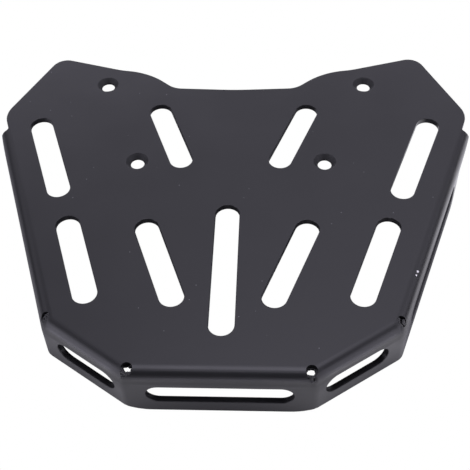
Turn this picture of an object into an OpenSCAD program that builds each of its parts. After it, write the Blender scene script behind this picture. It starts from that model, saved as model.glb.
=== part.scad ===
// Motorcycle luggage rack: one folded steel plate with strap slots.
// The plate lies level, the rear of the motorcycle is towards -Y and the
// origin is on the centre line, at the level of the lowest edge.

/* [Sheet] */
// thickness of the sheet
sheet_t = 4; // [2:0.5:6]
// outer radius of every fold
bend_r = 8.5; // [6:0.5:14]
// height of the top face above the lowest edge, which is the rear flange
rear_drop = 35; // [28:0.5:50]
// height of the diagonal and side flanges, measured down from the top face
side_drop = 31; // [26:0.5:45]

/* [Plan of the flanges] */
// half width of the rear flange, at its outer face
rear_half = 53.5; // [40:0.5:70]
// distance of the rear flange behind the middle of the rack
rear_y = 134.4; // [120:0.1:160]
// half width where the diagonal flange meets the side flange
shoulder_x = 103; // [90:0.5:120]
// distance behind the middle where the diagonal flange meets the side flange
shoulder_y = 101.1; // [90:0.1:120]
// angle between the side flange and the direction of travel
side_angle = 19.65; // [10:0.05:30]
// radius of the ground weld on each upright corner
corner_r = 9; // [2:0.5:20]

/* [Front edge] */
// distance of the front edge ahead of the middle, on the centre line
front_y = 100.6; // [90:0.1:115]
// hollow radius in the middle of the front edge
front_bow_r = 200; // [100:10:400]
// half width of the nearly straight front edge
front_half = 43.1; // [30:0.1:55]
// how far the front edge has moved ahead at that half width
front_rise = 1.9; // [0.5:0.1:5]
// hollow radius where the front edge turns forward
throat_r = 16; // [8:0.5:25]
// half width where the throat turns into the wing
wing_root_x = 62.9; // [55:0.1:75]
// distance ahead of the middle where the throat turns into the wing
wing_root_y = 119.7; // [112:0.1:126]
// radius of that turn
wing_root_r = 50; // [20:1:60]
// half width of the shallow kink in the front edge of the wing
wing_kink_x = 82.3; // [76:0.1:90]
// distance ahead of the middle of that kink
wing_kink_y = 122.2; // [118:0.1:128]
// half width of the wing tip before it is rounded
tip_x = 130.1; // [120:0.1:140]
// distance ahead of the middle of the wing tip before it is rounded
tip_y = 136.15; // [130:0.05:145]
// radius of the wing tip
tip_r = 11; // [4:0.5:16]
// half width of the outermost corner before it is rounded
heel_x = 159.1; // [150:0.1:168]
// distance ahead of the middle of the outermost corner
heel_y = 75.1; // [70:0.1:85]
// radius of the outermost corner
heel_r = 19; // [8:0.5:24]
// half width at the bottom of the notch that ends the side fold
notch_x = 153.8; // [150:0.1:156]
// distance ahead of the middle of that notch
notch_y = 60; // [55:0.1:64]
// radius at the bottom of that notch
notch_r = 1.5; // [0.5:0.1:3]

/* [Top slots] */
// width of every slot
slot_w = 15; // [8:0.5:20]
// front end of the centre slot, ahead of the middle
centre_slot_front = -16.7; // [-30:0.1:0]
// rear end of the centre slot, ahead of the middle
centre_slot_rear = -99.5; // [-105:0.1:-80]
// front end of the outer rear slot, half width
rear_outer_x1 = 98.9; // [90:0.1:105]
// front end of the outer rear slot, ahead of the middle
rear_outer_y1 = -26.4; // [-35:0.1:-20]
// rear end of the outer rear slot, half width
rear_outer_x2 = 80.7; // [74:0.1:86]
// rear end of the outer rear slot, ahead of the middle
rear_outer_y2 = -78.6; // [-84:0.1:-70]
// front end of the inner rear slot, half width
rear_inner_x1 = 49.3; // [42:0.1:56]
// front end of the inner rear slot, ahead of the middle
rear_inner_y1 = -28.6; // [-35:0.1:-20]
// rear end of the inner rear slot, half width
rear_inner_x2 = 29.8; // [24:0.1:36]
// rear end of the inner rear slot, ahead of the middle
rear_inner_y2 = -80.1; // [-86:0.1:-70]
// front end of the outer front slot, half width
front_outer_x1 = 131.4; // [124:0.1:136]
// front end of the outer front slot, ahead of the middle
front_outer_y1 = 63.2; // [55:0.1:70]
// rear end of the outer front slot, half width
front_outer_x2 = 109.9; // [104:0.1:116]
// rear end of the outer front slot, ahead of the middle
front_outer_y2 = 4.5; // [-4:0.1:12]
// front end of the inner front slot, half width
front_inner_x1 = 50.2; // [44:0.1:56]
// front end of the inner front slot, ahead of the middle
front_inner_y1 = 77.2; // [70:0.1:82]
// rear end of the inner front slot, half width
front_inner_x2 = 32.6; // [26:0.1:38]
// rear end of the inner front slot, ahead of the middle
front_inner_y2 = 31; // [24:0.1:38]

/* [Bolt holes] */
// bore of the four bolt holes
hole_d = 9; // [6:0.1:11]
// diameter of the countersinks at the top face
sink_d = 15; // [11:0.1:18]
// depth of the countersinks
sink_h = 3; // [1:0.1:4]
// half distance between the front bolts
front_bolt_x = 91; // [84:0.1:98]
// distance of the front bolts ahead of the middle
front_bolt_y = 106.2; // [98:0.1:110]
// half distance between the rear bolts
rear_bolt_x = 61.6; // [55:0.1:70]
// distance of the rear bolts ahead of the middle
rear_bolt_y = 29.5; // [20:0.1:38]

/* [Flange slots] */
// distance between the end centres of the rear slot
rear_slot_l = 67.3; // [40:0.1:80]
// depth of the rear slot below the top face
rear_slot_z = 18.5; // [16:0.1:22]
// distance between the end centres of the diagonal slots
diag_slot_l = 27.8; // [15:0.1:32]
// how far the diagonal slots sit from the middle of their flange
diag_slot_shift = -2.1; // [-5:0.1:5]
// depth of the diagonal slots below the top face
diag_slot_z = 15.2; // [14:0.1:20]
// distance between the end centres of the side slots
side_slot_l = 95; // [40:0.5:105]
// distance of the middle of the side slots from the shoulder
side_slot_at = 72.4; // [65:0.1:80]
// depth of the side slots below the top face
side_slot_z = 15.2; // [14:0.1:20]

/* [Corner details] */
// diameter of the relief holes at the ends of the rear fold
rear_relief_d = 6.5; // [4:0.1:9]
// distance of each of them from the upright corner, along the rear fold
rear_relief_at = 3.1; // [1:0.1:8]
// distance of each of them from the rear flange's outer face
rear_relief_in = 6.1; // [4:0.1:9]
// diameter of the relief holes at the shoulders
side_relief_d = 6.5; // [4:0.1:8]
// distance of the shoulder reliefs from the corner, along the side fold
side_relief_at = 5.5; // [4:0.1:12]
// lean of the shoulder reliefs, outward round the side fold
side_relief_lean = 36; // [10:1:50]
// length over which the rear flange rises to the height of the diagonal one
rear_lift_l = 8; // [4:0.5:15]
// radius between that rise and the lowest edge
rear_lift_r = 28; // [5:1:40]
// where the side flange ends along its lower edge, from the shoulder
side_low_end = 128.5; // [115:0.5:135]
// where its sloping front edge meets the fold, from the shoulder
side_high_end = 141; // [130:0.5:150]
// radius between the sloping front edge and the lower edge
side_end_r = 6; // [2:0.5:12]
// depth of the fold below the top face at the notch
lip_drop = 5; // [4.5:0.1:8]

/* [Hidden] */
// how finely round surfaces are drawn
$fn = 72;
// far enough to clear the whole rack
far = 400;
// distance that a cutting shape reaches past a face
over = 2;
// level below every flange, where cutting shapes end
deep = rear_drop + 12;
// how far a round runs past the edges that it joins, so that it meets them
graze = 0.003;
// direction of the diagonal flange
diag_angle = atan2(rear_y - shoulder_y, shoulder_x - rear_half);
diag_l = norm([rear_y - shoulder_y, shoulder_x - rear_half]);
// turning angles of the two upright corners
rear_turn = diag_angle;
shoulder_turn = 90 - side_angle - diag_angle;
// length of the side fold up to the notch
side_l = (notch_y + shoulder_y) * cos(side_angle) + (notch_x - shoulder_x) * sin(side_angle);

// which part to draw

// direction of a plane vector, made one unit long
function unit(v) = v / norm(v);
function flat(p) = [p[0], p[1]];
function turned(v, a) = [v[0] * cos(a) - v[1] * sin(a), v[0] * sin(a) + v[1] * cos(a)];

// for a corner b between a and c: the centre of its round, the point where
// the round starts, the point where it ends, and whether the corner points out
function round_at(a, b, c) =
    let (
        u = unit(flat(a) - flat(b)),
        v = unit(flat(c) - flat(b)),
        half = acos(u * v) / 2,
        reach = b[2] / tan(half)
    )
    [
        flat(b) + unit(u + v) * b[2] / sin(half),
        flat(b) + u * reach,
        flat(b) + v * reach,
        u[1] * v[0] - u[0] * v[1] > 0
    ];

// a region drawn anticlockwise through corners [x, y, radius]
module rounded_region(corners) {
    n = len(corners);
    rounds = [
        for (i = [0 : n - 1])
            round_at(corners[(i + n - 1) % n], corners[i], corners[(i + 1) % n])
    ];
    difference() {
        polygon([
            for (i = [0 : n - 1])
                for (k = corners[i][2] > 0 && !rounds[i][3] ? [1, 2] : [0])
                    k > 0 ? rounds[i][k] : flat(corners[i])
        ]);
        for (i = [0 : n - 1])
            if (corners[i][2] > 0) {
                if (rounds[i][3])
                    outside_round(rounds[i], corners[i]);
                else
                    inside_round(rounds[i], corners[i]);
            }
    }
}

// the piece between a corner and its round, run on a little past both edges
module outside_round(round, corner) {
    centre = round[0];
    k = 1 + over / corner[2];
    difference() {
        polygon([
            centre,
            centre + (round[1] - centre) * k,
            centre + (flat(corner) - centre) * k,
            centre + (round[2] - centre) * k
        ]);
        translate(centre)
            circle(r = corner[2] + graze);
    }
}

// the part of a hollow round's circle that faces its corner
module inside_round(round, corner) {
    centre = round[0];
    // angle by which the piece runs on at each end
    wide = 6;
    k = 1 + over / corner[2];
    intersection() {
        translate(centre)
            circle(r = corner[2] + graze);
        polygon([
            centre,
            centre + turned(round[1] - centre, -wide) * k,
            centre + (flat(corner) - centre) * k,
            centre + turned(round[2] - centre, wide) * k
        ]);
    }
}

// corners of the front edge on the right, from the notch to the centre line
function front_right() = [
    [notch_x, notch_y, notch_r],
    [heel_x, heel_y, heel_r],
    [tip_x, tip_y, tip_r],
    [wing_kink_x, wing_kink_y, wing_root_r],
    [wing_root_x, wing_root_y, wing_root_r],
    [front_half, front_y + front_rise, throat_r]
];

function mirrored(points) = [
    for (i = [len(points) - 1 : -1 : 0]) [-points[i][0], points[i][1], points[i][2]]
];

// plan of the flat plate, with the flanges left inside a wide margin; the
// side folds end square at the notch
module plan_region() {
    lower = [
        [far, -far, 0],
        [notch_x + far * cos(side_angle), notch_y - far * sin(side_angle), 0]
    ];
    rounded_region(concat(
        lower,
        front_right(),
        [[0, front_y, front_bow_r]],
        mirrored(front_right()),
        mirrored(lower)
    ));
}

// cross-section of a fold: x runs inward from the outer face, y is height
module fold_section(inset) {
    r = bend_r - inset;
    difference() {
        translate([inset, -deep])
            square([far, deep - inset]);
        difference() {
            translate([inset - over, -bend_r])
                square([r + over, r + over]);
            translate([bend_r, -bend_r])
                circle(r = r);
        }
    }
}

// places its children with x along a flange, y inward and z up
module at_rear() {
    translate([-rear_half, -rear_y, rear_drop])
        children();
}

module at_diagonal() {
    translate([rear_half, -rear_y, rear_drop])
        rotate([0, 0, diag_angle])
            children();
}

module at_side() {
    translate([shoulder_x, -shoulder_y, rear_drop])
        rotate([0, 0, 90 - side_angle])
            children();
}

module both_sides() {
    children();
    mirror([1, 0, 0])
        children();
}

module fold_prism(inset) {
    translate([-far, 0, 0])
        rotate([90, 0, 90])
            linear_extrude(height = 2 * far)
                fold_section(inset);
}

// everything inside the outer faces, or inside the inner faces
module fold_form(inset) {
    intersection() {
        at_rear()
            fold_prism(inset);
        at_diagonal()
            fold_prism(inset);
        at_side()
            fold_prism(inset);
        mirror([1, 0, 0])
            at_diagonal()
                fold_prism(inset);
        mirror([1, 0, 0])
            at_side()
                fold_prism(inset);
    }
}

// a slot through a level sheet between two end centres
module top_slot(x1, y1, x2, y2) {
    translate([x1, y1, rear_drop - sheet_t - over])
        rotate([0, 0, atan2(y2 - y1, x2 - x1)])
            slot_body(norm([x2 - x1, y2 - y1]), sheet_t + 2 * over);
}

module slot_body(length, height) {
    linear_extrude(height = height) {
        translate([0, -slot_w / 2])
            square([length, slot_w]);
        circle(d = slot_w);
        translate([length, 0])
            circle(d = slot_w);
    }
}

// a slot through an upright flange, centred at x = at and z = -depth
module flange_slot(at, length, depth) {
    translate([at - length / 2, sheet_t + over, -depth])
        rotate([90, 0, 0])
            slot_body(length, sheet_t + 2 * over);
}

module bolt_hole(x, y) {
    translate([x, y, rear_drop - sheet_t - over])
        cylinder(d = hole_d, h = sheet_t + 2 * over);
    translate([x, y, rear_drop - sink_h])
        cylinder(d1 = hole_d, d2 = sink_d, h = sink_h);
    translate([x, y, rear_drop])
        cylinder(d = sink_d, h = over);
}

// upright relief hole at an end of the rear fold
module rear_relief() {
    translate([rear_relief_at, rear_relief_in, -bend_r])
        cylinder(d = rear_relief_d, h = bend_r + over);
}

// relief hole through the side fold, square to its curved face
module side_relief() {
    translate([side_relief_at, bend_r, -bend_r])
        rotate([side_relief_lean, 0, 0])
            translate([0, 0, bend_r - sheet_t - over])
                cylinder(d = side_relief_d, h = sheet_t + 2 * over);
}

// takes the sharp edge off an upright corner that turns by an angle
module upright_round(turn) {
    t = corner_r * tan(turn / 2);
    translate([0, 0, -deep])
        linear_extrude(height = deep + over)
            outside_round(
                [[t, corner_r], [-t * cos(turn), t * sin(turn)], [t, 0]],
                [0, 0, corner_r]
            );
}

// all that lies under the lower edges, seen from behind
module under_region() {
    low = rear_drop - side_drop;
    rounded_region([
        [-far / 2, -2 * deep, 0],
        [far / 2, -2 * deep, 0],
        [far / 2, low, 0],
        [rear_half, low, 0],
        [rear_half - rear_lift_l, 0, rear_lift_r],
        [-rear_half + rear_lift_l, 0, rear_lift_r],
        [-rear_half, low, 0],
        [-far / 2, low, 0]
    ]);
}

// what is taken off the front of the side flange, x along it, y is height
module side_end_region() {
    rounded_region([
        [side_low_end - 30, -deep, 0],
        [far, -deep, 0],
        [far, -lip_drop, 0],
        [side_l, -lip_drop, 0],
        [side_high_end, -bend_r - 0.5, 4],
        [side_low_end, -side_drop, side_end_r],
        [side_low_end - 30, -side_drop, 0]
    ]);
}

module rack_plate() {
    color([0.25, 0.25, 0.27])
    difference() {
        intersection() {
            difference() {
                fold_form(0);
                fold_form(sheet_t);
            }
            translate([0, 0, -deep])
                linear_extrude(height = 3 * deep)
                    plan_region();
        }
        rotate([90, 0, 0])
            translate([0, 0, -far / 2])
                linear_extrude(height = far)
                    under_region();
        top_slot(0, centre_slot_front, 0, centre_slot_rear);
        at_rear()
            flange_slot(rear_half, rear_slot_l, rear_slot_z);
        both_sides() {
            top_slot(rear_outer_x1, rear_outer_y1, rear_outer_x2, rear_outer_y2);
            top_slot(rear_inner_x1, rear_inner_y1, rear_inner_x2, rear_inner_y2);
            top_slot(front_outer_x1, front_outer_y1, front_outer_x2, front_outer_y2);
            top_slot(front_inner_x1, front_inner_y1, front_inner_x2, front_inner_y2);
            bolt_hole(front_bolt_x, front_bolt_y);
            bolt_hole(rear_bolt_x, rear_bolt_y);
            at_rear()
                rear_relief();
            at_diagonal() {
                flange_slot(diag_l / 2 + diag_slot_shift, diag_slot_l, diag_slot_z);
                upright_round(rear_turn);
            }
            at_side() {
                flange_slot(side_slot_at, side_slot_l, side_slot_z);
                side_relief();
                upright_round(shoulder_turn);
                translate([0, bend_r + over, 0])
                    rotate([90, 0, 0])
                        linear_extrude(height = bend_r + 2 * over)
                            side_end_region();
            }
        }
    }
}

rack_plate();
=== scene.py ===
"""Luggage rack for a motorcycle: the looks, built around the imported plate.

The plate is one folded and welded steel sheet with a black powder coat. A fine mesh
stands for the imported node: its cut edges are rounded by the coat, its side flanges
spring out a little, and its rear corners are ground tighter. The script gives it the
coat's finish and adds the weld left at the four corners.
"""

from __future__ import annotations

import logging
import math
from dataclasses import dataclass, field
from enum import Enum

import bmesh
import bpy
from mathutils import Matrix, Vector


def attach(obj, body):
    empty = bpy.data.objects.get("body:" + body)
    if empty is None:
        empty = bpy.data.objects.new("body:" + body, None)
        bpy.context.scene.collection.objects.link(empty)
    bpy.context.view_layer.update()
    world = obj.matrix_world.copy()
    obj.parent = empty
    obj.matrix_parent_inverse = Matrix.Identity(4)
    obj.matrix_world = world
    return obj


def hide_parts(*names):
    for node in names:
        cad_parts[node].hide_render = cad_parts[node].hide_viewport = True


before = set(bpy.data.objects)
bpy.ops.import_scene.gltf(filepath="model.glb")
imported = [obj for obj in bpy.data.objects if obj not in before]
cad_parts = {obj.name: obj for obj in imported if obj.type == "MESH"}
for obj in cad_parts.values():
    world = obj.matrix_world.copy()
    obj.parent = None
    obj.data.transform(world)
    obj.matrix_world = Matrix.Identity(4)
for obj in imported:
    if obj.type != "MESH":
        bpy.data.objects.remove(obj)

LOG = logging.getLogger("rack")
MM = 0.001  # metres in a millimetre
IMAGE_SIDE = 470  # pixels
BODY = "root"
UPRIGHT = Matrix.Rotation(math.pi / 2, 4, "X")  # a drawing stood on its lower edge
SHARP = math.radians(50)  # an edge that turns more than this stays an edge
NEAR_EDGE = 0.5  # mm above the flanges' lower edge that still count as that edge
MERGED = 0.01  # mm between points that become one

# How far the cutting tools reach past what they cut, in mm.
FAR = 400.0
FAR_AHEAD = 260.0
FAR_BELOW = -90.0
WIDE = 200.0
LONG = 300.0
UNDER_FLOOR = -12.0
IN_FOLD = -5.0
PROUD = 2.0
BEHIND_FOOT = 30.0

# How finely an outline is drawn: largest turn in degrees, longest piece in mm, and
# the least slant that counts where a corner of it is moved.
FINE = 3.0
LONGEST = 6.0
LEAST_SLANT = 0.3

Tree = bpy.types.NodeTree
Socket = bpy.types.NodeSocket
Outputs = bpy.types.bpy_prop_collection
Term = float | Socket


def linear(hex_colour: str) -> tuple[float, float, float, float]:
    """Turns an sRGB hex colour into linear light.

    Args:
        hex_colour: Six hex digits, such as "424146".

    Returns:
        Red, green, blue and alpha in linear light.
    """
    values = [int(hex_colour[i : i + 2], 16) / 255 for i in (0, 2, 4)]
    light = [v / 12.92 if v <= 0.04045 else ((v + 0.055) / 1.055) ** 2.4 for v in values]
    return (light[0], light[1], light[2], 1.0)


def add_node(
    kind: str,
    inputs: dict[str | int, object] | None = None,
    settings: dict[str, object] | None = None,
    tree: Tree | None = None,
) -> Outputs:
    """Adds a node, with its values, links and settings.

    Args:
        kind: Blender's name for the kind of node.
        inputs: A value or an output socket for each input, by name or number.
        settings: Values for the node's own properties.
        tree: The node tree that gets the node; left out, it is that of the sockets.

    Returns:
        The node's outputs.
    """
    inputs = inputs or {}
    if tree is None:
        tree = next(value.id_data for value in inputs.values() if isinstance(value, Socket))
    node = tree.nodes.new(kind)
    for name, value in (settings or {}).items():
        setattr(node, name, value)
    for name, value in inputs.items():
        if isinstance(value, Socket):
            tree.links.new(value, node.inputs[name])
        else:
            node.inputs[name].default_value = value
    return node.outputs


def reckon(operation: str, *terms: Term, clamp: bool = False) -> Socket:
    """Adds a Math node for numbers and sockets, and returns the socket of its result."""
    settings = {"operation": operation, "use_clamp": clamp}
    return add_node("ShaderNodeMath", dict(enumerate(terms)), settings)[0]


def measure(operation: str, *vectors: object, label: str = "") -> Outputs:
    """Adds a Vector Math node, and returns its outputs: Vector and Value."""
    settings = {"operation": operation, "label": label}
    return add_node("ShaderNodeVectorMath", dict(enumerate(vectors)), settings)


def ramp(
    value: Socket, start: tuple[float, float], end: tuple[float, float], soft: bool = True
) -> Socket:
    """Adds a node that runs from one value to another and stays there.

    Args:
        value: The socket that it follows.
        start: Where the run starts, and the result there.
        end: Where it ends, and the result there.
        soft: Whether it starts and ends gently.

    Returns:
        The socket that holds the result.
    """
    ends = zip(("From Min", "To Min", "From Max", "To Max"), (*start, *end))
    settings = {"interpolation_type": "SMOOTHSTEP" if soft else "LINEAR"}
    return add_node("ShaderNodeMapRange", {"Value": value, **dict(ends)}, settings)["Result"]


def noise(place: Socket, size_mm: float, detail: float, roughness: float = 0.5) -> Socket:
    """Adds a noise texture.

    Args:
        place: The socket that gives the place on the piece.
        size_mm: Size of its features.
        detail: Number of finer layers on it.
        roughness: How strong those are.

    Returns:
        The socket that holds the noise.
    """
    grains = {"Vector": place, "Scale": 1 / (size_mm * MM)}
    layers = {"Detail": detail, "Roughness": roughness}
    return add_node("ShaderNodeTexNoise", grains | layers)["Fac"]


def put(name: str, data: bpy.types.Mesh | bpy.types.Camera) -> bpy.types.Object:
    """Puts a new object in the scene.

    Args:
        name: Name of the object.
        data: Its mesh or camera.

    Returns:
        The object.
    """
    thing = bpy.data.objects.new(name, data)
    bpy.context.scene.collection.objects.link(thing)
    return thing


class Side(Enum):
    """The two mirrored sides of the rack."""

    RIGHT = 1
    LEFT = -1

    def mirror(self) -> Matrix:
        """Returns the matrix that takes the right side's shape to this side."""
        return Matrix.Scale(self.value, 4, (1, 0, 0))


class Corner(Enum):
    """The two kinds of welded corner, each with a relief hole."""

    REAR = "rear"
    SHOULDER = "shoulder"


def rounded(corners: list[tuple[float, float, float]], step: float = 4.0) -> list[Vector]:
    """Draws a closed outline through corners that each have a radius.

    Args:
        corners: Place and radius of each corner, anticlockwise, in mm.
        step: Largest turn between two points on an arc, in degrees.

    Returns:
        The points of the outline.
    """
    points: list[Vector] = []
    for i, (x, y, radius) in enumerate(corners):
        here = Vector((x, y))
        if radius <= 0:
            points.append(here)
            continue
        back = (Vector(corners[i - 1][:2]) - here).normalized()
        ahead = (Vector(corners[(i + 1) % len(corners)][:2]) - here).normalized()
        half = back.angle(ahead) / 2
        centre = here + (back + ahead).normalized() * (radius / math.sin(half))
        start = here + back * (radius / math.tan(half)) - centre
        end = here + ahead * (radius / math.tan(half)) - centre
        turn_from = math.atan2(start.y, start.x)
        turn = (math.atan2(end.y, end.x) - turn_from + math.pi) % (2 * math.pi) - math.pi
        by_turn = math.ceil(math.degrees(abs(turn)) / step)
        by_length = math.ceil(abs(turn) * radius / LONGEST)
        pieces = max(2, by_turn, by_length)
        for j in range(pieces + 1):
            angle = turn_from + turn * j / pieces
            points.append(centre + radius * Vector((math.cos(angle), math.sin(angle))))
    return points


def grown(outline: list[Vector], by: float) -> list[Vector]:
    """Moves a closed anticlockwise outline outwards.

    Args:
        outline: The points of the outline.
        by: How far each side moves, in mm; below zero it moves inwards.

    Returns:
        As many points as the outline has.
    """
    points = []
    for i, here in enumerate(outline):
        before = (here - outline[i - 1]).normalized()
        after = (outline[(i + 1) % len(outline)] - here).normalized()
        out_before, out_after = Vector((before.y, -before.x)), Vector((after.y, -after.x))
        out = (out_before + out_after).normalized()
        points.append(here + out * (by / max(LEAST_SLANT, out.dot(out_before))))
    return points


def meeting(first: Vector, along_first: Vector, second: Vector, along_second: Vector) -> Vector:
    """Finds where two lines in a plan meet, from a point and the direction of each."""
    reach = (second - first).cross(along_second) / along_first.cross(along_second)
    return first + reach * along_first


def ring(radius: float, count: int = 48) -> list[Vector]:
    """Draws a circle round the middle, anticlockwise, with a number of points."""
    turns = [2 * math.pi * i / count for i in range(count)]
    return [Vector((radius * math.cos(t), radius * math.sin(t))) for t in turns]


@dataclass(frozen=True)
class Slot:
    """A strap slot: the path of its middle line, and its width.

    Attributes:
        x1: First end, sideways.
        y1: First end, lengthways.
        x2: Second end, sideways.
        y2: Second end, lengthways.
        width: Width of the slot, in mm as all the rest.
    """

    x1: float
    y1: float
    x2: float
    y2: float
    width: float = 15.0

    def outline(self, count: int = 18) -> list[Vector]:
        """Draws the slot.

        Args:
            count: Number of steps on each round end.

        Returns:
            The points, anticlockwise.
        """
        along = math.atan2(self.y2 - self.y1, self.x2 - self.x1)
        points = []
        for x, y, turn in ((self.x2, self.y2, -math.pi / 2), (self.x1, self.y1, math.pi / 2)):
            for i in range(count + 1):
                angle = along + turn + math.pi * i / count
                points.append(
                    Vector((x, y)) + self.width / 2 * Vector((math.cos(angle), math.sin(angle)))
                )
        return points


class Solid:
    """A closed solid under construction, in mm, and the cuts made in it."""

    def __init__(self) -> None:
        """Starts with nothing."""
        self.shape = bmesh.new()

    def loft(self, sections: list[tuple[list[Vector], float]], place: Matrix = Matrix()) -> None:
        """Adds a closed solid through outlines with equally many points.

        Args:
            sections: Outlines and their heights, from low to high.
            place: Where the solid goes; a mirroring one is allowed.
        """
        rows = [
            [self.shape.verts.new(place @ Vector((p.x, p.y, height))) for p in outline]
            for outline, height in sections
        ]
        count = len(rows[0])
        faces = [
            self.shape.faces.new((low[i], low[(i + 1) % count], high[(i + 1) % count], high[i]))
            for low, high in zip(rows, rows[1:])
            for i in range(count)
        ]
        faces.append(self.shape.faces.new(rows[0][::-1]))
        faces.append(self.shape.faces.new(rows[-1]))
        if place.determinant() < 0:
            bmesh.ops.reverse_faces(self.shape, faces=faces)

    def drill(
        self, outline: list[Vector], thick: float, place: Matrix, lip: float, steps: int = 2
    ) -> None:
        """Adds the tool for an opening whose two rims are rounded by the coat.

        Args:
            outline: The opening.
            thick: Thickness of the sheet that it goes through.
            place: The face of the sheet, with z straight out of it.
            lip: Radius of the rims.
            steps: Number of facets across a rim.
        """
        turns = [math.pi / 2 * i / steps for i in range(steps + 1)]
        rim = [(lip * (1 - math.sin(t)), -lip * (1 - math.cos(t))) for t in turns]
        wide, deep = rim[1]
        reach = 1.5 * lip
        rim[0] = (lip + reach * (lip - wide) / -deep, reach) if steps > 1 else (lip + reach, reach)
        far_side = [(grown(outline, w), -thick - d) for w, d in rim]
        near_side = [(grown(outline, w), d) for w, d in reversed(rim)]
        self.loft(far_side + near_side, place)

    def to_object(self, name: str) -> bpy.types.Object:
        """Turns the solid into an object and ends its construction.

        Args:
            name: Name of the object.

        Returns:
            The object.
        """
        mesh = bpy.data.meshes.new(name)
        self.shape.to_mesh(mesh)
        self.shape.free()
        return put(name, mesh)


def bake(thing: bpy.types.Object) -> None:
    """Replaces an object's mesh by what its modifiers make of it.

    Args:
        thing: The object.
    """
    graph = bpy.context.evaluated_depsgraph_get()
    mesh = bpy.data.meshes.new_from_object(thing.evaluated_get(graph), depsgraph=graph)
    thing.modifiers.clear()
    old, thing.data = thing.data, mesh
    mesh.name = thing.name
    bpy.data.meshes.remove(old)


def combine(base: bpy.types.Object, tool: Solid, operation: str) -> None:
    """Cuts a solid with a tool, exactly.

    Args:
        base: The object that is cut.
        tool: The tool, which is used up.
        operation: DIFFERENCE or INTERSECT.
    """
    cutter = tool.to_object("tool")
    modifier = base.modifiers.new("cut", "BOOLEAN")
    modifier.operation = operation
    modifier.solver = "EXACT"
    modifier.object = cutter
    bake(base)
    mesh = cutter.data
    bpy.data.objects.remove(cutter)
    bpy.data.meshes.remove(mesh)


@dataclass(frozen=True)
class Spot:
    """A small round place on the piece, in mm.

    Attributes:
        place: Its middle.
        radius: Its size.
        fade: Share of the radius over which it fades out.
        strength: How strongly it is marked.
    """

    place: tuple[float, float, float]
    radius: float
    fade: float = 0.7
    strength: float = 1.0


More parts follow.
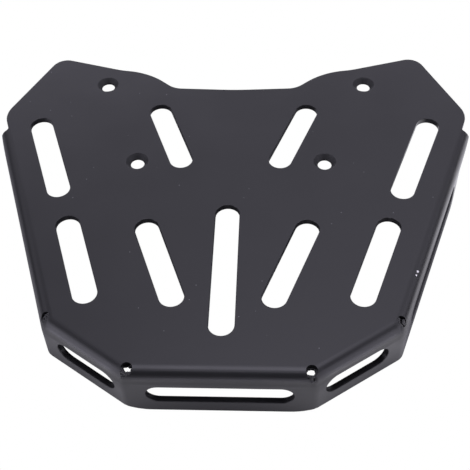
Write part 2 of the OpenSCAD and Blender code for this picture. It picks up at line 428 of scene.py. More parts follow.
@dataclass(frozen=True)
class PowderCoat:
    """Baked polyester powder coat, satin black.

    The powder melts into a thick film, so the eye sees a soft, slightly pebbled
    sheen with wide highlights along the folds and no sharp reflections.

    Attributes:
        colour: Body colour of the film.
        dust_colour: Colour of the dust.
        steel_colour: Colour of the bare steel in a chip.
        roughness: Roughness of the film's skin.
        ior: Its refractive index.
        cloud_mm: Size of the faint clouds in that roughness.
        ground_roughness: What grinding adds to it.
        pebble_mm: Size of the pebbled texture that the melted powder leaves.
        pebble_depth_mm: Depth of that texture.
        wave_mm: Length of the shallow waves in the film.
        wave_depth_mm: Depth of the waves.
        calm: Share of that depth where nothing is ground.
        rag_mm: Size of the rags on a chip's rim.
        speck_cell_mm: Size of the cells that hold one speck of dust at most.
        speck_size: Size of a speck, as a share of its cell.
        dust: Share of the upper faces' cells that hold a speck.
        dust_slope: Least cosine of the slope that dust stays on.
        chips: Places where a knock took the coat off and the steel shows.
        ground: Places where the steel was ground, so the coat on it is duller and wavier.
    """

    colour: str = "1F1F20"
    dust_colour: str = "8A8A8C"
    steel_colour: str = "F2F0EE"
    roughness: float = 0.30
    ior: float = 1.5
    cloud_mm: float = 38.0
    ground_roughness: float = 0.14
    pebble_mm: float = 1.1
    pebble_depth_mm: float = 0.012
    wave_mm: float = 9.0
    wave_depth_mm: float = 0.08
    calm: float = 0.4
    rag_mm: float = 0.8
    speck_cell_mm: float = 3.2
    speck_size: float = 0.085
    dust: float = 0.0
    dust_slope: float = 0.9
    chips: tuple[Spot, ...] = ()
    ground: tuple[Spot, ...] = ()

    def grinding(self, place: Socket) -> Term:
        """Marks the ground places, with soft limits.

        Args:
            place: The socket that gives the place on the piece.

        Returns:
            The socket that holds the mark, or zero where nothing is ground.
        """
        found: Term = 0.0
        for spot in self.ground:
            away = measure("DISTANCE", place, Vector(spot.place) * MM)["Value"]
            reach = spot.radius * MM
            inside = ramp(away, ((1 - spot.fade) * reach, spot.strength), (reach, 0.0))
            found = reckon("MAXIMUM", inside, found)
        return found

    def relief(self, place: Socket) -> Socket:
        """Shapes the film: fine pebbles of melted powder on long, shallow waves.

        Args:
            place: The socket that gives the place on the piece.

        Returns:
            The socket that gives the bent normal.
        """
        strength: Term = self.calm
        if self.ground:
            worked = self.grinding(place)
            strength = reckon("MULTIPLY_ADD", worked, 1 - self.calm, self.calm, clamp=True)
        waves = {
            "Height": noise(place, self.wave_mm, 1.0, 0.4),
            "Distance": self.wave_depth_mm * MM,
            "Strength": strength,
        }
        pebbles = {
            "Height": noise(place, self.pebble_mm, 2.0, 0.45),
            "Distance": self.pebble_depth_mm * MM,
            "Strength": 0.8,
            "Normal": add_node("ShaderNodeBump", waves)["Normal"],
        }
        return add_node("ShaderNodeBump", pebbles)["Normal"]

    def skin(self, place: Socket) -> Socket:
        """Varies the roughness slowly, as an uneven film does, so the sheen is faintly blotchy.

        Args:
            place: The socket that gives the place on the piece.

        Returns:
            The socket that gives the roughness.
        """
        clouds = noise(place, self.cloud_mm, 3.0)
        smoother, rougher = self.roughness - 0.02, self.roughness + 0.03
        film = ramp(clouds, (0.3, smoother), (0.7, rougher), soft=False)
        return reckon("MULTIPLY_ADD", self.grinding(place), self.ground_roughness, film)

    def specks(self, place: Socket) -> Socket:
        """Scatters fine pale dust on the faces that look up.

        Args:
            place: The socket that gives the place on the piece.

        Returns:
            The socket that is one in a speck.
        """
        size = {"Vector": place, "Scale": 1 / (self.speck_cell_mm * MM)}
        cells = add_node("ShaderNodeTexVoronoi", size)
        near = reckon("LESS_THAN", cells["Distance"], self.speck_size)
        draw = add_node("ShaderNodeSeparateColor", {"Color": cells["Color"]})[0]
        dusty = reckon("LESS_THAN", draw, self.dust)
        normal = add_node("ShaderNodeNewGeometry", tree=place.id_data)["Normal"]
        rise = add_node("ShaderNodeSeparateXYZ", {"Vector": normal})["Z"]
        up = reckon("GREATER_THAN", rise, self.dust_slope)
        return reckon("MULTIPLY", reckon("MULTIPLY", near, dusty), up)

    def bare(self, place: Socket) -> Term:
        """Marks the chips, with ragged rims.

        Args:
            place: The socket that gives the place on the piece.

        Returns:
            The socket that is one in a chip, or zero where there is none.
        """
        rag = noise(place, self.rag_mm, 2.0)
        found: Term = 0.0
        for chip in self.chips:
            away = measure("DISTANCE", place, Vector(chip.place) * MM)["Value"]
            rim = reckon("MULTIPLY", rag, 2 * chip.radius * MM)
            found = reckon("MAXIMUM", reckon("LESS_THAN", away, rim), found)
        return found

    def material(self, name: str) -> bpy.types.Material:
        """Builds the material.

        Args:
            name: Name of the new material.

        Returns:
            The material.
        """
        material = bpy.data.materials.new(name)
        material.use_nodes = True
        material.node_tree.nodes.clear()
        place = add_node("ShaderNodeTexCoord", tree=material.node_tree)["Object"]
        colour: object = linear(self.colour)
        for share, other in (
            (self.specks(place), self.dust_colour),
            (self.bare(place), self.steel_colour),
        ):
            shares = {0: share, 6: colour, 7: linear(other)}
            colour = add_node("ShaderNodeMix", shares, {"data_type": "RGBA"})[2]
        film = {
            "Base Color": colour,
            "Roughness": self.skin(place),
            "IOR": self.ior,
            "Normal": self.relief(place),
        }
        shader = add_node("ShaderNodeBsdfPrincipled", film)["BSDF"]
        add_node("ShaderNodeOutputMaterial", {"Surface": shader})
        return material


@dataclass
class FoldedPlate:
    """The folded plate: a 4 mm sheet with five flanges folded down.

    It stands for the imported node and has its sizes, with finer folds, cut edges
    rounded by the coat, side flanges that spring out of square, and rear corners
    that are ground tighter. All sizes are in mm.

    Attributes:
        node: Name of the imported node.
        sheet: Thickness of the sheet.
        top: Height of the flat top.
        bend: Outer radius of the folds.
        drop: Depth of the flanges; the rear one goes down to the floor between its ends.
        rear_upright: Radius of the ground upright corners at the rear.
        shoulder_upright: Radius of those between the diagonal and the side flanges.
        upright_least: Radius that is left of them at the top and inside.
        rear_half: Half the length of the rear flange.
        rear_y: Distance of the rear flange's outer face from the middle.
        shoulder: Where the diagonal flange meets the side flange.
        side_turn: How far the side flanges open towards the front, in degrees.
        side_flare: How far they spring out of square with the top, in degrees.
        front: Corners and radii of the right half of the front outline.
        front_bow: Middle of the bowed front edge, with its radius.
        slots: Slots in the top, right half; each has a mirror image.
        middle_slot: Slot on the middle line.
        rear_slot: Slot in the rear flange, along the fold and up.
        diagonal_slot: Slot in the diagonal flanges.
        side_slot: Slot in the side flanges.
        rear_blend: Run and radius from the rear flange's ends to its deeper middle.
        side_foot: Lower front corner of the side flanges: along the fold, and its radius.
        side_neck: Where their front ends meet the fold: along, up, and the radius.
        bolts: Bolt holes, right half.
        bolt_bore: Diameter of the bolt holes.
        bolt_head: Diameter of their countersinks at the top.
        bolt_sink: Depth of the countersinks.
        bolt_soft: Half width of their softened rims.
        bolt_rim: How much wider they are at the sheet's face and just above it.
        relief: Diameter of the relief holes at the ends of the folds.
        rear_relief: Place of a rear relief hole, from the end of the rear fold.
        shoulder_relief: Place of a shoulder's relief hole along the side fold.
        shoulder_tilt: How far that hole leans outwards, in degrees.
        open_seams: Short gaps that the weld left open beside the rear relief holes.
        seam_depth: Depth of those gaps.
        lip: Radius that the coat gives a cut edge.
        coat: The finish.
    """

    node: str = "rack_plate"
    sheet: float = 4.0
    top: float = 35.0
    bend: float = 8.5
    drop: float = 31.0
    rear_upright: float = 6.0
    shoulder_upright: float = 9.0
    upright_least: float = 1.0
    rear_half: float = 53.5
    rear_y: float = 134.4
    shoulder: tuple[float, float] = (103.0, -101.1)
    side_turn: float = 19.65
    side_flare: float = 1.6
    front: tuple[tuple[float, float, float], ...] = (
        (153.8, 60.0, 1.5),
        (159.1, 75.1, 19.0),
        (130.1, 136.15, 11.0),
        (82.3, 122.2, 50.0),
        (62.9, 119.7, 50.0),
        (43.1, 102.5, 16.0),
    )
    front_bow: tuple[float, float, float] = (0.0, 100.6, 200.0)
    slots: tuple[Slot, ...] = (
        Slot(98.9, -26.4, 80.7, -78.6),
        Slot(49.3, -28.6, 29.8, -80.1),
        Slot(131.4, 63.2, 109.9, 4.5),
        Slot(50.2, 77.2, 32.6, 31.0),
    )
    middle_slot: Slot = Slot(0.0, -16.7, 0.0, -99.5)
    rear_slot: Slot = Slot(19.85, -18.5, 87.15, -18.5)
    diagonal_slot: Slot = Slot(13.9, -15.2, 41.7, -15.2)
    side_slot: Slot = Slot(24.9, -15.2, 119.9, -15.2)
    rear_blend: tuple[float, float] = (8.0, 28.0)
    side_foot: tuple[float, float] = (128.5, 6.0)
    side_neck: tuple[float, float, float] = (141.0, -9.0, 4.0)
    bolts: tuple[tuple[float, float], ...] = ((91.0, 106.2), (61.6, 29.5))
    bolt_bore: float = 9.0
    bolt_head: float = 15.0
    bolt_sink: float = 3.0
    bolt_soft: float = 0.25
    bolt_rim: tuple[float, float] = (0.2, 1.4)
    relief: float = 6.5
    rear_relief: tuple[float, float] = (3.1, 6.1)
    shoulder_relief: float = 5.5
    shoulder_tilt: float = 36.0
    open_seams: dict[Side, tuple[Slot, ...]] = field(
        default_factory=lambda: {
            Side.LEFT: (Slot(-1.3, -1.4, -1.5, -2.7, 3.2),),
            Side.RIGHT: (Slot(-1.2, -2.4, -1.2, -4.4, 0.8), Slot(1.5, -2.4, 1.9, -3.6, 0.8)),
        }
    )
    seam_depth: float = 4.9
    lip: float = 0.4
    coat: PowderCoat = field(
        default_factory=lambda: PowderCoat(
            dust=0.05,
            chips=(Spot((113.3, -59.6, 33.9), 0.75), Spot((112.2, -62.5, 33.9), 0.6)),
            ground=tuple(
                Spot((side.value * x, y, z), *rest)
                for x, y, z, *rest in (
                    (54.5, -131.5, 28.0, 10.0),
                    (103.0, -99.0, 28.0, 10.0),
                    (91.0, 106.2, 34.0, 8.2, 0.1, 2.4),
                    (61.6, 29.5, 34.0, 8.2, 0.1, 2.4),
                )
                for side in Side
            ),
        )
    )

    def rear_face(self) -> Matrix:
        """Returns the place of the left end of the rear fold, with x along the fold."""
        return Matrix.Translation((-self.rear_half, -self.rear_y, self.top))

    def diagonal_face(self) -> Matrix:
        """Returns the place of the right diagonal fold's rear end, with x along the fold."""
        turn = math.atan2(self.shoulder[1] + self.rear_y, self.shoulder[0] - self.rear_half)
        start = Matrix.Translation((self.rear_half, -self.rear_y, self.top))
        return start @ Matrix.Rotation(turn, 4, "Z")

    def side_face(self) -> Matrix:
        """Returns the place of the right side fold's rear end, with x along the fold."""
        start = Matrix.Translation((*self.shoulder, self.top))
        return start @ Matrix.Rotation(math.radians(90 - self.side_turn), 4, "Z")

    def side_lean(self) -> Matrix:
        """Returns the turn of a side flange's outer face about the end of its fold."""
        hinge = Matrix.Translation((0, 0, -self.bend))
        return hinge @ Matrix.Rotation(-math.radians(self.side_flare), 4, "X") @ hinge.inverted()

    def relief_place(self, corner: Corner, side: Side) -> Matrix:
        """Finds a relief hole.

        Args:
            corner: Kind of corner.
            side: Side of the rack.

        Returns:
            The place of its middle at the fold's face, with z out of the hole.
        """
        if corner is Corner.REAR:
            start = side.mirror() @ Matrix.Scale(-1, 4, (1, 0, 0)) @ self.rear_face()
            return start @ Matrix.Translation((*self.rear_relief, 0))
        turn = Matrix.Rotation(math.radians(self.shoulder_tilt), 4, "X")
        middle = Matrix.Translation((self.shoulder_relief, self.bend, -self.bend))
        out = turn @ Matrix.Translation((0, 0, self.bend))
        return side.mirror() @ self.side_face() @ middle @ out

    def fold_plan(self, inset: float, height: float) -> list[Vector]:
        """Draws the plan of the five flanges' outer faces.

        Args:
            inset: How far the outline is moved inwards.
            height: Height of the plan; below the folds the side flanges lean outwards.

        Returns:
            The points; the side lines run on far beyond the front.
        """
        turn = math.radians(self.side_turn)
        lean = max(0.0, self.top - self.bend - height) * math.tan(math.radians(self.side_flare))
        out = (lean - inset) * Vector((math.cos(turn), -math.sin(turn)))
        ahead = Vector(self.shoulder) + FAR_AHEAD * Vector((math.sin(turn), math.cos(turn))) + out
        rear, shoulder = Vector((self.rear_half, -self.rear_y)), Vector(self.shoulder)
        diagonal = (shoulder - rear).normalized()
        inner = rear - inset * Vector((diagonal.y, -diagonal.x))
        rear_corner = meeting(rear + Vector((0, inset)), Vector((1, 0)), inner, diagonal)
        shoulder_corner = meeting(inner, diagonal, ahead, ahead - shoulder - out)
        right = [rear_corner, shoulder_corner, ahead]
        left = [Vector((-p.x, p.y)) for p in reversed(right)]
        least = self.upright_least
        at_rear = max(self.rear_upright - inset, least)
        at_shoulder = max(self.shoulder_upright - inset, least)
        radii = (0.0, at_shoulder, at_rear, at_rear, at_shoulder, 0.0)
        return rounded([(p.x, p.y, r) for p, r in zip(left + right, radii)], FINE)

    def fold_form(self, inset: float, steps: int = 14) -> Solid:
        """Fills everything under the folded sheet's outer or inner faces.

        Args:
            inset: Zero for the outer faces, the sheet's thickness for the inner ones.
            steps: Number of facets round a fold.

        Returns:
            The solid.
        """
        radius = self.bend - inset
        sections = [(self.fold_plan(inset, UNDER_FLOOR), UNDER_FLOOR)]
        for i in range(steps + 1):
            turn = math.pi / 2 * i / steps
            height = self.top - self.bend + radius * math.sin(turn)
            sections.append((self.fold_plan(inset + radius * (1 - math.cos(turn)), height), height))
        solid = Solid()
        solid.loft(sections)
        return solid

    def outline(self) -> Solid:
        """Fills what is inside the sheet's outline, with its upper edge rounded.

        Returns:
            The solid.
        """
        turn = math.radians(self.side_turn)
        x, y, _ = self.front[0]
        beside = (x + FAR * math.cos(turn), y - FAR * math.sin(turn), 0.0)
        right = [(FAR, -FAR, 0.0), beside, *self.front]
        left = [(-x, y, radius) for x, y, radius in reversed(right)]
        line = rounded([*right, self.front_bow, *left])
        solid = Solid()
        above = (grown(line, -2 * self.lip), self.top + self.lip)
        solid.loft([(line, UNDER_FLOOR), (line, self.top - self.lip), above])
        return solid

    def under(self) -> Solid:
        """Fills what the lower edges of the flanges leave free.

        Returns:
            The solid.
        """
        low, half = self.top - self.drop, self.rear_half
        run, radius = self.rear_blend
        right = [
            (WIDE, FAR_BELOW, 0),
            (WIDE, low, 0),
            (half, low, 0),
            (half - run, 0, radius),
        ]
        left = [(-x, y, r) for x, y, r in reversed(right)]
        line = rounded([*left[-1:], *right, *left[:-1]], FINE)
        solid = Solid()
        solid.loft([(line, -LONG), (line, LONG)], UPRIGHT)
        return solid

    def side_ends(self) -> Solid:
        """Fills what the sloping front ends of the side flanges leave free.

        Returns:
            The solid.
        """
        turn = math.radians(self.side_turn)
        heel = (self.front[0][1] - self.shoulder[1]) * math.cos(turn)
        heel += (self.front[0][0] - self.shoulder[0]) * math.sin(turn)
        foot, radius = self.side_foot
        start = foot - BEHIND_FOOT
        line = rounded(
            [
                (start, FAR_BELOW, 0),
                (FAR, FAR_BELOW, 0),
                (FAR, IN_FOLD, 0),
                (heel, IN_FOLD, 0),
                self.side_neck,
                (foot, -self.drop, radius),
                (start, -self.drop, 0),
            ]
        )
        solid = Solid()
        for side in Side:
            place = side.mirror() @ self.side_face() @ UPRIGHT
            solid.loft([(line, -self.bend - PROUD), (line, PROUD)], place)
        return solid

    def openings(self) -> Solid:
        """Makes the tools for the slots, the bolt holes and the relief holes.

        Returns:
            The solid.
        """
        solid = Solid()
        flat = Matrix.Translation((0, 0, self.top))
        solid.drill(self.middle_slot.outline(), self.sheet, flat, self.lip)
        rear_place = self.rear_face() @ UPRIGHT
        solid.drill(self.rear_slot.outline(), self.sheet, rear_place, self.lip, 1)
        for side in Side:
            for slot in self.slots:
                solid.drill(slot.outline(), self.sheet, side.mirror() @ flat, self.lip)
            for slot, face in (
                (self.diagonal_slot, self.diagonal_face()),
                (self.side_slot, self.side_face() @ self.side_lean()),
            ):
                place = side.mirror() @ face @ UPRIGHT
                solid.drill(slot.outline(), self.sheet, place, self.lip, 1)
            for x, y in self.bolts:
                self.add_bolt_hole(solid, side.mirror() @ flat @ Matrix.Translation((x, y, 0)))
            hole = ring(self.relief / 2, 32)
            for corner, low in ((Corner.REAR, -self.bend), (Corner.SHOULDER, -self.sheet - PROUD)):
                solid.loft([(hole, low), (hole, PROUD)], self.relief_place(corner, side))
        return solid

    def seams(self) -> Solid:
        """Makes the tools for the gaps that the weld left open.

        Returns:
            The solid.
        """
        solid = Solid()
        for side in Side:
            for seam in self.open_seams[side]:
                place = self.relief_place(Corner.REAR, side)
                line = seam.outline(6)
                solid.loft([(line, -self.seam_depth), (line, PROUD)], place)
        return solid

    def add_bolt_hole(self, solid: Solid, place: Matrix) -> None:
        """Adds the tool for a countersunk bolt hole.

        Args:
            solid: The solid that gets it.
            place: The hole's middle at the sheet's upper face.
        """
        bore, head, soft = self.bolt_bore / 2, self.bolt_head / 2, self.bolt_soft
        profile = [
            (-self.sheet - soft, bore + 2 * soft),
            (-self.sheet + soft, bore),
            (-self.bolt_sink - soft, bore),
            (-self.bolt_sink + soft, bore + soft * (head - bore) / self.bolt_sink),
            (-soft, head - soft * (head - bore) / self.bolt_sink),
            (0.0, head + self.bolt_rim[0]),
            (self.lip, head + self.bolt_rim[1]),
        ]
        solid.loft([(ring(radius), height) for height, radius in profile], place)

    def soften_lower_edges(self, plate: bpy.types.Object) -> None:
        """Rounds the flanges' lower edges as the coat does.

        Args:
            plate: The plate, in mm.
        """
        mesh = plate.data
        shape = bmesh.new()
        shape.from_mesh(mesh)
        bmesh.ops.remove_doubles(shape, verts=shape.verts, dist=MERGED)
        weight = shape.edges.layers.float.new("bevel_weight_edge")
        low = self.top - self.drop + NEAR_EDGE
        for edge in shape.edges:
            sharp = edge.is_manifold and edge.calc_face_angle() > SHARP
            edge[weight] = float(sharp and all(v.co.z < low for v in edge.verts))
        shape.to_mesh(mesh)
        shape.free()
        bevel = plate.modifiers.new("soft", "BEVEL")
        bevel.limit_method = "WEIGHT"
        bevel.width = self.lip
        bevel.segments = 2
        bake(plate)

    def finish_faces(self, plate: bpy.types.Object) -> None:
        """Brings the plate to metres and shades its folds and rims smoothly.

        Args:
            plate: The plate, in mm.
        """
        mesh = plate.data
        mesh.transform(Matrix.Scale(MM, 4))
        mesh.shade_smooth()
        mesh.set_sharp_from_angle(angle=SHARP)
        normals = plate.modifiers.new("normals", "WEIGHTED_NORMAL")
        normals.keep_sharp = True
        bake(plate)

    def build(self) -> bpy.types.Object:
        """Folds and cuts the plate, and lays on the coat.

        Returns:
            The plate's object.
        """
        plate = self.fold_form(0.0).to_object("folded_plate")
        combine(plate, self.fold_form(self.sheet), "DIFFERENCE")
        combine(plate, self.outline(), "INTERSECT")
        for tool in (self.under(), self.side_ends(), self.openings(), self.seams()):
            combine(plate, tool, "DIFFERENCE")
        self.soften_lower_edges(plate)
        self.finish_faces(plate)
        plate.data.materials.clear()
        plate.data.materials.append(self.coat.material("satin_black_powder_coat"))
        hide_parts(self.node)
        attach(plate, BODY)
        return plate


@dataclass(frozen=True)
class Bead:
    """A run of weld drops, in the frame of its relief hole, in mm.

    Attributes:
        path: Points on the run, measured from the hole's middle at the fold's face.
        size: Radius of the drops.
    """

    path: tuple[tuple[float, float, float], ...]
    size: float


@dataclass(frozen=True)
class WeldTrace:
    """What the weld left at one corner.

    Attributes:
        corner: Kind of corner.
        side: Side of the rack.
        spread: How far the drops stray from their runs.
        grain: Depth of the roughness on them.
        seed: Seed of that straying.
        beads: The runs.
    """

    corner: Corner
    side: Side
    spread: float
    grain: float
    seed: int
    beads: tuple[Bead, ...]

    @property
    def name(self) -> str:
        """Name of the piece."""
        return f"weld_{self.corner.value}_{self.side.name.lower()}"


FILLING = tuple(
    Bead(((x, -reach, -3.6), (x, reach, -3.6)), 1.15)
    for x, reach in ((-2.1, 2.2), (-0.5, 2.8), (1.1, 2.8), (2.4, 2.0))
)


TRACES = (
    WeldTrace(
        Corner.REAR,
        Side.LEFT,
        0.42,
        0.30,
        3,
        (
            Bead(((-2.7, 0.9, -1.9), (-2.9, -0.7, -1.8), (-1.9, -0.9, -1.9)), 0.80),
            Bead(((-2.6, -1.7, -1.9), (-1.4, -2.1, -1.9), (-0.4, -2.5, -1.9)), 0.80),
            Bead(((-2.5, -2.8, -2.8), (-1.2, -3.0, -2.7), (-0.2, -3.1, -2.5)), 0.80),
            Bead(((-2.0, -3.9, -3.7), (-0.9, -3.8, -3.4)), 0.65),
            Bead(((0.2, -2.9, -2.1), (1.2, -2.9, -2.1), (2.2, -2.3, -2.2)), 0.85),
            Bead(((-2.3, -0.3, -2.9), (-1.5, -1.4, -3.0), (-0.6, -2.3, -3.4)), 1.05),
            Bead(((-2.2, 2.1, -3.7), (0.0, 3.1, -3.8), (2.2, 2.3, -3.7)), 0.75),
            Bead(((2.7, 1.4, -3.6), (3.2, -0.2, -3.4), (2.6, -1.7, -3.0)), 0.75),
        ),
    ),
    WeldTrace(
        Corner.REAR,
        Side.RIGHT,
        0.12,
        0.14,
        5,
        (
            Bead(
                ((-2.4, 1.6, -3.1), (-2.9, -0.1, -3.2), (-2.5, -1.5, -3.0), (-1.9, -2.3, -2.6)),
                1.15,
            ),
            Bead(((-1.8, -2.6, -2.5), (0.0, -3.0, -2.1), (1.9, -2.6, -2.3)), 0.80),
            Bead(((-2.0, -2.6, -3.9), (0.0, -3.2, -4.0), (2.0, -2.6, -3.9)), 1.20),
            Bead(((-1.9, 2.5, -3.7), (0.0, 3.1, -3.8), (1.9, 2.6, -3.7)), 0.85),
            Bead(((2.7, 1.5, -3.6), (3.3, 0.0, -3.4), (2.8, -1.6, -3.0)), 0.55),
            Bead(((-0.1, -3.0, -2.3), (-0.1, -3.9, -3.1), (-0.1, -4.7, -4.2)), 0.80),
        ),
    ),
    WeldTrace(
        Corner.SHOULDER,
        Side.LEFT,
        0.24,
        0.30,
        8,
        (
            *FILLING,
            Bead(((-2.4, -1.2, -1.2), (-1.0, -2.2, -1.5), (0.6, -2.1, -1.4)), 0.95),
            Bead(((-2.4, 1.1, -0.9), (-1.0, 2.0, -1.0), (0.6, 2.1, -1.1)), 1.00),
            Bead(((-1.4, 0.1, -1.2), (0.2, 0.2, -1.3)), 0.85),
            Bead(((1.4, -1.0, -1.5), (1.5, 0.8, -1.6)), 0.80),
        ),
    ),
    WeldTrace(
        Corner.SHOULDER,
        Side.RIGHT,
        0.05,
        0.08,
        11,
        (
            *FILLING,
            *(
                Bead(((-0.3, y, z), (1.2, y, z)), 1.00)
                for y, z in ((-0.75, -0.95), (-1.5, -1.05), (-2.2, -1.25))
            ),
            Bead(((-2.0, 1.6, -1.0), (-0.9, 2.1, -1.1), (0.6, 2.2, -1.2)), 1.15),
            Bead(((-2.5, 0.6, -1.0), (-2.6, -1.4, -1.2)), 1.05),
        ),
    ),
)


@dataclass
class WeldTraces:
    """The weld left in the relief holes: drops along short runs, melted together.

    Attributes:
        plate: The plate, whose corners carry the weld.
        pitch: Distance between the drops, in mm.
        voxel: Fineness of the melted surface, in mm.
        size_range: Smallest and largest size of a drop, as shares of its run's size.
        grain_scale: Grains per mm on the weld.
        coat: The finish, a thin and rough part of the plate's coat; its colour is darkened beyond
            the plate's as painted shade for the relief holes.
        traces: The four corners.
    """

    plate: FoldedPlate
    pitch: float = 0.55
    voxel: float = 0.16
    size_range: tuple[float, float] = (0.78, 1.08)
    grain_scale: float = 1.1
    # The weld's film is black like the plate's, made darker still as painted shade for the shaded
    # relief holes.
    coat: PowderCoat = field(
        default_factory=lambda: PowderCoat(
            colour="18181A", roughness=0.42, pebble_mm=0.5, pebble_depth_mm=0.05
        )
    )
    traces: tuple[WeldTrace, ...] = TRACES

    def melt_tree(self) -> bpy.types.NodeTree:
        """Builds the node tree that lays drops along runs and melts them together.

        Returns:
            The tree, with all its sizes as named inputs.
        """
        tree = bpy.data.node_groups.new("weld_drops", "GeometryNodeTree")
        kinds = {"Geometry": "Geometry", "Seed": "Int", "Material": "Material"}
        kinds |= dict.fromkeys(("Pitch", "Voxel", "Spread", "Grain"), "Float")
        for name, kind in kinds.items():
            tree.interface.new_socket(name, in_out="INPUT", socket_type=f"NodeSocket{kind}")
        tree.interface.new_socket("Geometry", in_out="OUTPUT", socket_type="NodeSocketGeometry")
        given = add_node("NodeGroupInput", tree=tree)

        def step(kind: str, inputs: dict[str, object], **settings: object) -> Socket:
            """Adds a geometry node and returns its first output."""
            return add_node(f"GeometryNode{kind}", inputs, settings, tree)[0]

        runs = step("MeshToCurve", {"Mesh": given["Geometry"]})
        drops = step("CurveToPoints", {"Curve": runs, "Length": given["Pitch"]}, mode="LENGTH")
        limits = {
            "Min": reckon("MULTIPLY", given["Spread"], -1.0),
            "Max": given["Spread"],
            "Seed": given["Seed"],
        }
        kind = "FunctionNodeRandomValue"
        stray = add_node(kind, limits, {"data_type": "FLOAT_VECTOR"})["Value"]
        placed = step("SetPosition", {"Geometry": drops, "Offset": stray})
        size = step("InputNamedAttribute", {"Name": "size"})
        least, most = self.size_range
        share = add_node(kind, {2: least, 3: most, "Seed": given["Seed"]})[1]
        drop = {"Points": placed, "Radius": reckon("MULTIPLY", size, share)}
        voxel = {"Voxel Size": given["Voxel"]}
        melt = step("PointsToVolume", drop | voxel, resolution_mode="VOXEL_SIZE")
        skin = step("VolumeToMesh", {"Volume": melt} | voxel, resolution_mode="VOXEL_SIZE")
        scale = {"Scale": self.grain_scale, "Detail": 2.0, "Roughness": 0.6}
        rough = add_node("ShaderNodeTexNoise", scale, tree=tree)["Fac"]
        depth = reckon("MULTIPLY", reckon("SUBTRACT", rough, 0.5), given["Grain"])
        push = {0: step("InputNormal", {}), "Scale": depth}
        out = add_node("ShaderNodeVectorMath", push, {"operation": "SCALE"})[0]
        worn = step("SetPosition", {"Geometry": skin, "Offset": out})
        smooth = step("SetShadeSmooth", {"Geometry": worn})
        real = step("RealizeInstances", {"Geometry": smooth})
        dressed = step("SetMaterial", {"Geometry": real, "Material": given["Material"]})
        add_node("NodeGroupOutput", {"Geometry": dressed})
        return tree

    def runs(self, trace: WeldTrace) -> bpy.types.Object:
        """Draws the runs of one corner.

        Args:
            trace: The corner.

        Returns:
            An object of edges, in mm, with the drops' size on each point.
        """
        place = self.plate.relief_place(trace.corner, trace.side)
        points: list[Vector] = []
        edges: list[tuple[int, int]] = []
        sizes: list[float] = []
        for bead in trace.beads:
            first = len(points)
            points += [place @ Vector(p) for p in bead.path]
            sizes += [bead.size] * len(bead.path)
            edges += [(i, i + 1) for i in range(first, len(points) - 1)]
        mesh = bpy.data.meshes.new(trace.name)
        mesh.from_pydata(points, edges, [])
        mesh.attributes.new("size", "FLOAT", "POINT").data.foreach_set("value", sizes)
        return put(trace.name, mesh)

    def build(self) -> list[bpy.types.Object]:
        """Welds the four corners.

        Returns:
            The weld of each corner.
        """
        tree = self.melt_tree()
        inputs = [item for item in tree.interface.items_tree if item.in_out == "INPUT"]
        sockets = {item.name: item.identifier for item in inputs}
        material = self.coat.material("weld_coat_with_painted_shade")
        pieces = []
        for trace in self.traces:
            piece = self.runs(trace)
            modifier = piece.modifiers.new("melt", "NODES")
            modifier.node_group = tree
            values = {
                "Pitch": self.pitch,
                "Voxel": self.voxel,
                "Spread": trace.spread,
                "Grain": trace.grain,
                "Seed": trace.seed,
                "Material": material,
            }
            for name, value in values.items():
                modifier[sockets[name]] = value
            bake(piece)
            piece.data.transform(Matrix.Scale(MM, 4))
            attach(piece, BODY)
            LOG.info("%s: %d faces", piece.name, len(piece.data.polygons))
            pieces.append(piece)
        return pieces


@dataclass(frozen=True)
class PhotoCamera:
    """The camera that took the photograph, found by fitting the plate's outlines.

    Attributes:
        focal_px: Focal length in pixels of the square picture.
        place_mm: Where it stands.
        yaw: Turn of the view from straight ahead, to the right.
        pitch: How far the view looks down.
        roll: Tilt of the picture.
    """

    focal_px: float = 884.4
    place_mm: tuple[float, float, float] = (31.75, -380.4, 446.4)
    yaw: float = -4.356
    pitch: float = 49.804
    roll: float = 2.897

    def build(self) -> bpy.types.Object:
        """Makes the camera and puts it in use.

        Returns:
            The camera.
        """
        yaw, pitch, roll = (math.radians(a) for a in (self.yaw, self.pitch, self.roll))
        forward = Vector(
            (math.sin(yaw) * math.cos(pitch), math.cos(yaw) * math.cos(pitch), -math.sin(pitch))
        )
        level = Vector((math.cos(yaw), -math.sin(yaw), 0))
        down = forward.cross(level)
        right = math.cos(roll) * level + math.sin(roll) * down
        up = math.sin(roll) * level - math.cos(roll) * down
        data = bpy.data.cameras.new("camera")
        data.sensor_width = 36
        data.lens = self.focal_px / IMAGE_SIDE * data.sensor_width
        data.clip_start = 0.01
        camera = put("camera", data)
        turn = Matrix((right, up, -forward)).transposed().to_4x4()
        camera.matrix_world = Matrix.Translation(Vector(self.place_mm) * MM) @ turn
        bpy.context.scene.camera = camera
        return camera


@dataclass(frozen=True)
class SoftLight:
    """One wide soft light, so far away that only its direction counts.

    Attributes:
        name: Name of the light.
        azimuth: Direction in degrees, from straight ahead to the right.
        elevation: Height above the floor in degrees.
        strength: Brightness at its centre.
        focus: How quickly it fades from its centre.
    """

    name: str
    azimuth: float
    elevation: float
    strength: float
    focus: float

    def direction(self) -> tuple[float, float, float]:
        """Returns the unit vector that points to the light."""
        turn, rise = math.radians(self.azimuth), math.radians(self.elevation)
        return (math.sin(turn) * math.cos(rise), math.cos(turn) * math.cos(rise), math.sin(rise))


@dataclass(frozen=True)
class FloorPool:
    """A pool of lamplight on the floor, which fades from its middle.

    Attributes:
        name: Name of the pool.
        azimuth: Its direction from the middle of the rack, in degrees, to the right of ahead.
        distance_m: Its distance from there.
        radius_m: Where it has faded to a third.
        strength: Brightness in its middle.
    """

    name: str
    azimuth: float
    distance_m: float
    radius_m: float
    strength: float

    def middle(self) -> tuple[float, float, float]:
        """Returns the middle of the pool on the floor."""
        turn = math.radians(self.azimuth)
        return (math.sin(turn) * self.distance_m, math.cos(turn) * self.distance_m, 0.0)


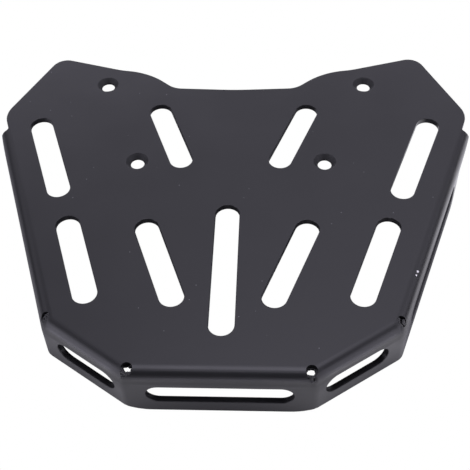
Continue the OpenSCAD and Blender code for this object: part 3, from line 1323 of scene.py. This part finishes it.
@dataclass
class Studio:
    """A plain pale floor in a white tent with plain soft lights.

    Attributes:
        floor_side_m: Side of the square floor.
        floor_colour: Colour of the floor's paper.
        lamp_colour: Colour of all the lights, a cool daylight.
        pool_colour: Colour of their light where the floor throws it back.
        shade_m: Half length and half width of the shade under the rack.
        shade_rim: Where the shade's rim starts and ends, as shares of those.
        pools: The pools of light on the floor.
        lights: The lights.
    """

    floor_side_m: float = 12.0
    floor_colour: str = "B4B4B4"
    lamp_colour: str = "F0EDFF"
    pool_colour: str = "FAF8FF"
    shade_m: tuple[float, float] = (0.158, 0.137)
    shade_rim: tuple[float, float] = (0.9, 1.1)
    pools: tuple[FloorPool, ...] = (
        FloorPool("pool_ahead_right", 36.0, 0.42, 0.17, 7.4),
        FloorPool("pool_behind_right", 144.0, 0.42, 0.17, 5.4),
        FloorPool("pool_behind_left", 216.0, 0.42, 0.17, 4.5),
        FloorPool("pool_right", 92.0, 0.20, 0.10, 1.5),
    )
    lights: tuple[SoftLight, ...] = (
        SoftLight("overhead", 0.0, 87.0, 3.7, 24.0),
        SoftLight("high_ahead", 0.0, 70.0, 0.84, 24.0),
        SoftLight("ahead", 0.0, 50.0, 0.68, 24.0),
        SoftLight("ahead_right", 40.0, 50.0, 1.2, 24.0),
        SoftLight("ahead_left", -36.0, 30.0, 0.88, 24.0),
        SoftLight("right_ahead", 72.0, 30.0, 1.35, 24.0),
        SoftLight("right", 108.0, 30.0, 3.0, 24.0),
        SoftLight("left_ahead", -72.0, 30.0, 0.8, 24.0),
        SoftLight("left", -108.0, 30.0, 3.1, 24.0),
        SoftLight("low_ahead_right", 15.0, 15.0, 2.75, 40.0),
        SoftLight("low_ahead_left", -15.0, 15.0, 3.7, 40.0),
        SoftLight("low_right", 120.0, 3.0, 4.7, 40.0),
        SoftLight("low_behind", 180.0, 3.0, 3.1, 40.0),
        SoftLight("low_left", -120.0, 3.0, 5.0, 40.0),
    )

    def pool_sum(self, tree: Tree) -> Socket:
        """Adds up the pools of light, outside the rack's shade.

        Args:
            tree: The floor's node tree.

        Returns:
            The socket that holds the brightness.
        """
        place = add_node("ShaderNodeTexCoord", tree=tree)["Object"]
        total: Term = 0.0
        for pool in self.pools:
            away = measure("DISTANCE", place, pool.middle(), label=pool.name)["Value"]
            share = reckon("DIVIDE", away, pool.radius_m)
            fade = reckon("POWER", math.exp(-1), reckon("MULTIPLY", share, share))
            total = reckon("MULTIPLY_ADD", fade, pool.strength, total)
        reach = measure("LENGTH", measure("DIVIDE", place, (*self.shade_m, 1.0))["Vector"])["Value"]
        inner, outer = self.shade_rim
        return reckon("MULTIPLY", total, ramp(reach, (inner, 0.0), (outer, 1.0)))

    def light_sum(self, tree: Tree) -> Socket:
        """Adds up the lights for the direction that is looked in.

        Args:
            tree: The world's node tree.

        Returns:
            The socket that holds the brightness.
        """
        looked = add_node("ShaderNodeTexCoord", tree=tree)["Generated"]
        total: Term = 0.0
        for light in self.lights:
            aim = light.direction()
            facing = measure("DOT_PRODUCT", looked, aim, label=light.name)["Value"]
            fade = reckon("POWER", reckon("MAXIMUM", facing, 0.0), light.focus)
            total = reckon("MULTIPLY_ADD", fade, light.strength, total)
        return total

    def white_to_camera(self, lit: Socket, glow: str) -> Socket:
        """Shows the camera plain white, and the coat what is lit.

        Args:
            lit: The socket of the lit shader.
            glow: Blender's name for the kind of node that glows.

        Returns:
            The socket of the shader that does both.
        """
        white = add_node(glow, {"Color": linear("FFFFFF"), "Strength": 1.0}, tree=lit.id_data)[0]
        seen = add_node("ShaderNodeLightPath", tree=lit.id_data)["Is Camera Ray"]
        return add_node("ShaderNodeMixShader", {0: seen, 1: lit, 2: white})[0]

    def build_floor(self) -> bpy.types.Object:
        """Makes the floor: the camera sees it white, the coat sees paper with pools of light.

        Returns:
            The floor.
        """
        half = self.floor_side_m / 2
        mesh = bpy.data.meshes.new("floor")
        corners = [(-half, -half, 0), (half, -half, 0), (half, half, 0), (-half, half, 0)]
        mesh.from_pydata(corners, [], [(0, 1, 2, 3)])
        material = bpy.data.materials.new("studio_floor")
        material.use_nodes = True
        tree = material.node_tree
        tree.nodes.clear()
        paper = add_node("ShaderNodeBsdfDiffuse", {"Color": linear(self.floor_colour)}, tree=tree)
        light = {"Color": linear(self.pool_colour), "Strength": self.pool_sum(tree)}
        both = {0: paper[0], 1: add_node("ShaderNodeEmission", light)[0]}
        lit = add_node("ShaderNodeAddShader", both)[0]
        surface = self.white_to_camera(lit, "ShaderNodeEmission")
        add_node("ShaderNodeOutputMaterial", {"Surface": surface})
        mesh.materials.append(material)
        floor = put("floor", mesh)
        return floor

    def build_room(self) -> None:
        """Makes the tent: the camera sees it white, the coat sees the lights."""
        world = bpy.data.worlds.new("tent")
        world.use_nodes = True
        tree = world.node_tree
        tree.nodes.clear()
        light = {"Color": linear(self.lamp_colour), "Strength": self.light_sum(tree)}
        lit = add_node("ShaderNodeBackground", light)[0]
        surface = self.white_to_camera(lit, "ShaderNodeBackground")
        add_node("ShaderNodeOutputWorld", {"Surface": surface})
        bpy.context.scene.world = world

    def build(self) -> None:
        """Makes the floor and the tent, with plain colour handling."""
        self.build_floor()
        self.build_room()
        bpy.context.scene.view_settings.view_transform = "Standard"


def main() -> None:
    """Builds the rack's looks and the studio, and reports each piece."""
    logging.basicConfig(level=logging.INFO, format="%(message)s")
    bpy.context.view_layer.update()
    plate = FoldedPlate()
    piece = plate.build()
    LOG.info("%s: %d faces", piece.name, len(piece.data.polygons))
    WeldTraces(plate).build()
    PhotoCamera().build()
    Studio().build()


if __name__ == "__main__":
    main()
